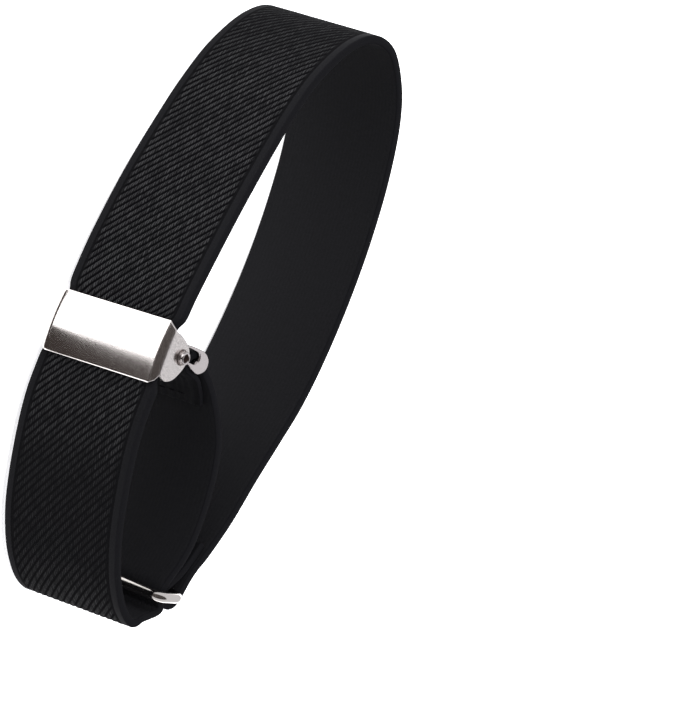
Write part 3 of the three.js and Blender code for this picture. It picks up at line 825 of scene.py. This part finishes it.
class GARTER_OT_stitches(bpy.types.Operator):
    """Sew the two hems of the strap"""
    bl_idname = "garter.make_stitches"
    bl_label = "Hem stitches"

    def execute(self, context):
        cfg = context.scene.garter_strap
        bm = bmesh.new()
        half = STRAP_THICKNESS / 2
        # Each hem is sewn through its tail and through the layer that lies on it
        tails = [(HEM_SEAM, 12, 45),
                 (RUN.length - HEM_SEAM, RUN.length - 45, RUN.length - 14)]
        for tail_s, low, high in tails:
            other = RUN.nearest(RUN.at(np.array(tail_s))[:2], low, high)
            for s in (tail_s, other):
                self.row(bm, s, half, cfg.stitch_length / MM)
        made = finished("hem_stitches", to_mesh(bm, "hem_stitches"), [sewing_thread(cfg)])
        return {"FINISHED"}

    def row(self, bm, s, out, length):
        """A row of lock stitches across the strap, each a short sunk arch of thread."""
        radius, gap, sides, steps = 0.12, 0.45, 8, 7
        seam_margin, seat, arch = 2, 0.02, 0.13
        turns = np.arange(sides) * 2 * math.pi / sides
        count = int((STRAP_WIDTH - 2 * seam_margin) / (length + gap))
        start = -(count * (length + gap) - gap) / 2
        for k in range(count):
            rings = []
            for t in np.linspace(0, 1, steps):
                up = (start + k * (length + gap) + t * length) / STRAP_WIDTH
                rise = out + seat + arch * math.sin(math.pi * t)
                r = radius * (0.55 + 0.45 * math.sin(math.pi * t))
                ring = RUN.surface(s + r * np.cos(turns), np.full(sides, up),
                                   rise + r * np.sin(turns))
                rings.append([tuple(p) for p in ring])
            swept(bm, rings, False)


class GARTER_OT_ring(bpy.types.Operator):
    """Bend and close the wire ring"""
    bl_idname = "garter.make_ring"
    bl_label = "Wire ring"

    def execute(self, context):
        cfg = context.scene.garter_metal
        far, near = Vector((*FAR_BAR, 0)), Vector((*NEAR_BAR, 0))
        side, up = (far - near).normalized(), Vector((0, 0, 1))
        half_gap = (far - near).length / 2
        half_height = RING_HEIGHT / 2 - WIRE_RADIUS
        middle = ORIGIN + (far + near) / 2 + up * RING_HEIGHT / 2
        normal = side.cross(up)
        steps, sides = 10, 28
        rings = []
        for corner, (a, b) in enumerate(((1, 1), (-1, 1), (-1, -1), (1, -1))):
            for step in range(steps + 1):
                turn = math.pi / 2 * (corner + step / steps)
                radial = side * math.cos(turn) + up * math.sin(turn)
                at = (middle + side * a * (half_gap - RING_BEND)
                      + up * b * (half_height - RING_BEND) + radial * RING_BEND)
                rings.append([
                    at + radial * WIRE_RADIUS * math.cos(t) + normal * WIRE_RADIUS * math.sin(t)
                    for t in np.arange(sides) * 2 * math.pi / sides])
        bm = bmesh.new()
        swept(bm, rings, True)
        metal = nickel("polished_nickel_wire", cfg.wire_colour, rough=0.12, grain_mm=0.3,
                       grain_depth=0.003, mottle=0.05)
        made = finished("polished_ring", to_mesh(bm, "polished_ring"), [metal])
        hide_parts("slide_ring")
        return {"FINISHED"}


class GARTER_OT_plate(bpy.types.Operator):
    """Press the cover plate: a bowed sheet with an ear bent back at each end"""
    bl_idname = "garter.make_plate"
    bl_label = "Cover plate"

    def execute(self, context):
        cfg = context.scene.garter_metal
        left, right = PLATE_SHIFT - PLATE_LENGTH / 2, PLATE_SHIFT + PLATE_LENGTH / 2
        flat_to = PLATE_WIDTH / 2 - PLATE_BEND
        middle_radius = PLATE_BEND - SHEET / 2
        bend_length = middle_radius * math.pi / 2
        ear_from = flat_to + bend_length

        # Flat pattern: u along X, and along Y the length across the plate and its ears
        ear_from_v = PLATE_BEND - PLATE_GAP - SHEET
        ear = smooth_line([(u, ear_from - ear_from_v + v) for u, v in EAR_OUTLINE])
        cut_u, cut_b = CORNER_CUT
        cut_from = PLATE_WIDTH / 2 - CORNER_FROM_END
        upper = [(right, cut_from), (right - cut_u, cut_from + cut_b), *ear,
                 (left + cut_u, cut_from + cut_b), (left, cut_from)]
        outline = upper + [(u, -b) for u, b in reversed(upper)]
        holes = [circle((PIVOT[0], sign * (ear_from - ear_from_v + PIVOT[1])), PIN_HOLE_RADIUS)
                 for sign in (1, -1)]
        bm = pressed_sheet([outline, *holes], SHEET, cfg.edge_round / MM)
        bend_steps, along_steps, across_steps = 8, 22, 9
        bends = [flat_to + bend_length * k / bend_steps for k in range(bend_steps + 1)]
        crease(bm, 0, np.linspace(left + 0.3, right - 0.3, along_steps))
        crease(bm, 1, [*bends, *[-b for b in bends],
                       *np.linspace(-flat_to + 1, flat_to - 1, across_steps)])

        def pressed(u, b, h):
            """From the flat pattern to the bowed face, the rounded bends and the ears."""
            inset = (u - PLATE_SHIFT) / (PLATE_LENGTH / 2)
            bow = PLATE_BOW * max(0, 1 - inset * inset)
            reach, sign = abs(b), math.copysign(1, b)
            if reach <= flat_to:
                return ADJUSTER @ Vector((u, -PLATE_GAP - SHEET / 2 - h - bow, b))
            if reach <= ear_from:
                turn = (reach - flat_to) / middle_radius
                r = middle_radius + h
                v = ear_from_v - r * math.cos(turn) - bow * math.cos(turn)
                return ADJUSTER @ Vector((u, v, sign * (flat_to + r * math.sin(turn))))
            v = ear_from_v + reach - ear_from
            return ADJUSTER @ Vector((u, v, sign * (PLATE_WIDTH / 2 - SHEET / 2 + h)))

        place(bm, pressed)
        metal = nickel("satin_nickel_plate", cfg.plate_colour, cfg.plate_roughness,
                       grain_mm=0.22, grain_depth=0.01, mottle=0.33)
        made = finished("pressed_cover_plate", to_mesh(bm, "pressed_cover_plate"), [metal], 35)
        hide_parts("cover_plate")
        return {"FINISHED"}


class GARTER_OT_lever(bpy.types.Operator):
    """Make the grip lever: two flanges, a toothed web, the rear bar and the pivot pins"""
    bl_idname = "garter.make_lever"
    bl_label = "Grip lever"

    def execute(self, context):
        cfg = context.scene.garter_metal
        edge = cfg.edge_round / MM
        whole = bmesh.new()
        x, y = FLANGE_OPENING
        arc = [math.pi * k / 12 for k in range(13)]
        slot = [(x + FLANGE_OPENING_RADIUS * math.cos(a),
                 y + FLANGE_OPENING_REACH + FLANGE_OPENING_RADIUS * math.sin(a)) for a in arc]
        slot += [(x - FLANGE_OPENING_RADIUS * math.cos(a),
                  y - FLANGE_OPENING_REACH - FLANGE_OPENING_RADIUS * math.sin(a)) for a in arc]
        flange = smooth_line(FLANGE_OUTLINE, closed=True)
        at = (FLANGE_SPAN - SHEET) / 2
        for sign in (1, -1):
            sheet = pressed_sheet([flange, slot], SHEET, edge)
            self.add(whole, sheet, lambda u, v, h, s=sign: Vector((u, v, s * at + h)))
            self.pin(whole, sign)
        self.web(whole, edge)
        swept(whole, [self.hoop(REAR_BAR, REAR_BAR_RADIUS, w, 24)
                      for w in np.linspace(-at, at, 12)], False)
        metal = nickel("tumbled_nickel_lever", cfg.lever_colour, rough=0.26, grain_mm=0.14,
                       grain_depth=0.008, mottle=0.1)
        made = finished("grip_lever_frame", to_mesh(whole, "grip_lever_frame"),
                        [metal, drilled_bore()], 35)
        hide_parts("grip_lever")
        return {"FINISHED"}

    def add(self, whole, piece, mapping):
        """Puts a flat piece in its place in the adjuster and joins it to the whole."""
        place(piece, lambda *p: ADJUSTER @ mapping(*p))
        mesh = bpy.data.meshes.new("lever_piece")
        piece.to_mesh(mesh)
        piece.free()
        whole.from_mesh(mesh)
        bpy.data.meshes.remove(mesh)

    def hoop(self, centre, radius, w, sides):
        """A ring of points round a line across the adjuster."""
        return [ADJUSTER @ Vector((centre[0] + radius * math.cos(t),
                                   centre[1] + radius * math.sin(t), w))
                for t in np.arange(sides) * 2 * math.pi / sides]

    def pin(self, whole, sign):
        """A pivot pin with a rounded, hollowed end."""
        sides = 32
        end = PIN_SPAN / 2 + (UPPER_PIN_PROUD if sign > 0 else 0)
        bottom = end - PIN_BORE_DEPTH
        profile = [(0.01, bottom), (PIN_BORE_RADIUS, bottom), (0.74, end - 0.12),
                   (0.82, end - 0.02), (0.92, end), (1.03, end - 0.05),
                   (PIN_RADIUS, end - 0.18), (PIN_RADIUS, FLANGE_SPAN / 2 - SHEET)]
        made = swept(whole, [self.hoop(PIVOT, r, sign * w, sides) for r, w in profile], False)
        # The bore's faces take the dark bore material: partly oxide, partly painted shade of the
        # hollow
        for face in made[:2 * sides] + made[-2:-1]:
            face.material_index = 1

    def web(self, whole, edge):
        """The toothed web that pinches the strap against the plate."""
        nose, rear = Vector(WEB_NOSE), Vector(WEB_REAR)
        reach = (nose - rear).length
        span = FLANGE_SPAN - SHEET
        pitch = span / TOOTH_COUNT
        root_flat = 0.05
        outline = [(0, -span / 2)]
        for tooth in range(TOOTH_COUNT):
            start = -span / 2 + tooth * pitch
            outline += [(reach - TOOTH_DEPTH, start + root_flat), (reach, start + pitch / 2)]
        outline += [(reach - TOOTH_DEPTH, span / 2), (0, span / 2)]
        along = (nose - rear).normalized()
        side = Vector((-along.y, along.x))

        def lay(a, w, h):
            """Stands the flat web between the flanges."""
            p = rear + along * a + side * h
            return Vector((p.x, p.y, w))

        self.add(whole, pressed_sheet([outline], WEB_SHEET, edge * 0.6), lay)


class GARTER_OT_stage(bpy.types.Operator):
    """Set the floor, the soft studio light and the camera"""
    bl_idname = "garter.make_stage"
    bl_label = "Stage"

    def execute(self, context):
        cfg = context.scene.garter_stage
        reach, drop = 4000, 0.03
        self.card("floor", [(-reach, -reach, -drop), (reach, -reach, -drop),
                            (reach, reach, -drop), (-reach, reach, -drop)], floor_paper(cfg))
        self.lights(cfg)
        self.cards()
        self.camera()
        return {"FINISHED"}

    def card(self, name, corners, material):
        """A flat piece of the stage, its corners in millimetres."""
        mesh = bpy.data.meshes.new(name)
        mesh.from_pydata([tuple(Vector(c) * MM) for c in corners], [], [range(len(corners))])
        mesh.materials.append(material)
        made = bpy.data.objects.new(name, mesh)
        bpy.context.scene.collection.objects.link(made)
        return made

    def lights(self, cfg):
        """An even pale room, and two soft boxes that the metal doesn't mirror."""
        world = bpy.data.worlds.new("studio")
        bpy.context.scene.world = world
        world.use_nodes = True
        tree = world.node_tree
        tree.nodes.clear()
        sky = node(tree, "ShaderNodeBackground", {
            "Color": colour("#ededf1"), "Strength": 0.88 * cfg.light_power})
        node(tree, "ShaderNodeOutputWorld", {"Surface": sky})
        # Name, place and width in metres, power in watts
        boxes = [
            ("top_softbox", (-0.1, -0.27, 0.92), 0.9, 17.0),
            ("side_softbox", (-0.32, -0.14, 0.16), 0.2, 0.9),
        ]
        for name, at, size, power in boxes:
            lamp = bpy.data.lights.new(name, "AREA")
            lamp.shape = "SQUARE"
            lamp.size = size
            lamp.energy = power * cfg.light_power
            made = bpy.data.objects.new(name, lamp)
            bpy.context.scene.collection.objects.link(made)
            made.location = at
            made.rotation_euler = (-Vector(at)).to_track_quat("-Z", "Y").to_euler()
            made.visible_glossy = False

    def cards(self):
        """Dark cards in front of the adjuster, seen only by what mirrors them, so they paint dark
        reflections: the low one darkens the plate's lower half, the front one its bend and the
        lever, the foot one its far edge as painted shade of the floor at the plate's foot."""
        material, tree, shader = blank("dark_card")
        feed(tree, shader, {"Base Color": colour("#272220"), "Roughness": 0.9})
        places = {
            "low_card": [(10.2, -26.2, 0.35), (-19.8, -330, 0.35), (220, -330, 0.35),
                         (22, -26.6, 0.35)],
            "front_card": [(-160, -330, 0), (200, -330, 0), (200, 380, 480), (-160, 60, 480)],
            "foot_card": [(2.6, -23.2, 0.2), (15.4, -24.3, 0.2), (15.4, -26.6, 0.2),
                          (2.6, -25.6, 0.2)],
        }
        for name, corners in places.items():
            made = self.card(name, corners, material)
            made.visible_camera = False
            made.visible_diffuse = False
            made.visible_shadow = False

    def camera(self):
        """The view: raised 37 degrees, rolled on its side, 600 mm away."""
        rise, roll_right = math.radians(37), math.radians(109)
        distance = 600
        aim = ORIGIN + Vector((0, 0, STRAP_WIDTH / 2))
        back = Vector((0, -math.cos(rise), math.sin(rise)))
        level = Vector((1, 0, 0))
        upright = back.cross(level)
        right = level * math.cos(roll_right) + upright * math.sin(roll_right)
        data = bpy.data.cameras.new("camera")
        data.sensor_width = 36
        data.lens = 166.63
        data.clip_start, data.clip_end = 0.02, 20
        made = bpy.data.objects.new("camera", data)
        bpy.context.scene.collection.objects.link(made)
        up = back.cross(right)
        turn = Matrix((right, up, back)).transposed().to_4x4()
        made.matrix_world = Matrix.Translation((aim + back * distance) * MM) @ turn
        bpy.context.scene.camera = made


class GARTER_PT_panel(bpy.types.Panel):
    """The garter's pieces and sizes"""
    bl_label = "Sleeve garter"
    bl_idname = "GARTER_PT_panel"
    bl_space_type = "VIEW_3D"
    bl_region_type = "UI"
    bl_category = "Garter"

    def draw(self, context):
        for operator in OPERATORS:
            self.layout.operator(operator.bl_idname)
        for group in SETTINGS:
            settings = getattr(context.scene, group)
            for key in settings.bl_rna.properties.keys():
                if key not in ("rna_type", "name"):
                    self.layout.prop(settings, key)


SETTINGS = {
    "garter_strap": StrapSettings,
    "garter_metal": MetalSettings,
    "garter_stage": StageSettings,
}
OPERATORS = [
    GARTER_OT_strap, GARTER_OT_stitches, GARTER_OT_ring, GARTER_OT_plate, GARTER_OT_lever,
    GARTER_OT_stage,
]


def register():
    for group, settings in SETTINGS.items():
        bpy.utils.register_class(settings)
        setattr(bpy.types.Scene, group, PointerProperty(type=settings))
    for operator in OPERATORS:
        bpy.utils.register_class(operator)
    bpy.utils.register_class(GARTER_PT_panel)


def unregister():
    bpy.utils.unregister_class(GARTER_PT_panel)
    for operator in reversed(OPERATORS):
        bpy.utils.unregister_class(operator)
    for group, settings in SETTINGS.items():
        delattr(bpy.types.Scene, group)
        bpy.utils.unregister_class(settings)


def main():
    register()
    bpy.context.scene.view_settings.view_transform = "Standard"
    bpy.ops.garter.make_strap()
    bpy.ops.garter.make_stitches()
    bpy.ops.garter.make_ring()
    bpy.ops.garter.make_plate()
    bpy.ops.garter.make_lever()
    bpy.ops.garter.make_stage()


if __name__ == "__main__":
    main()
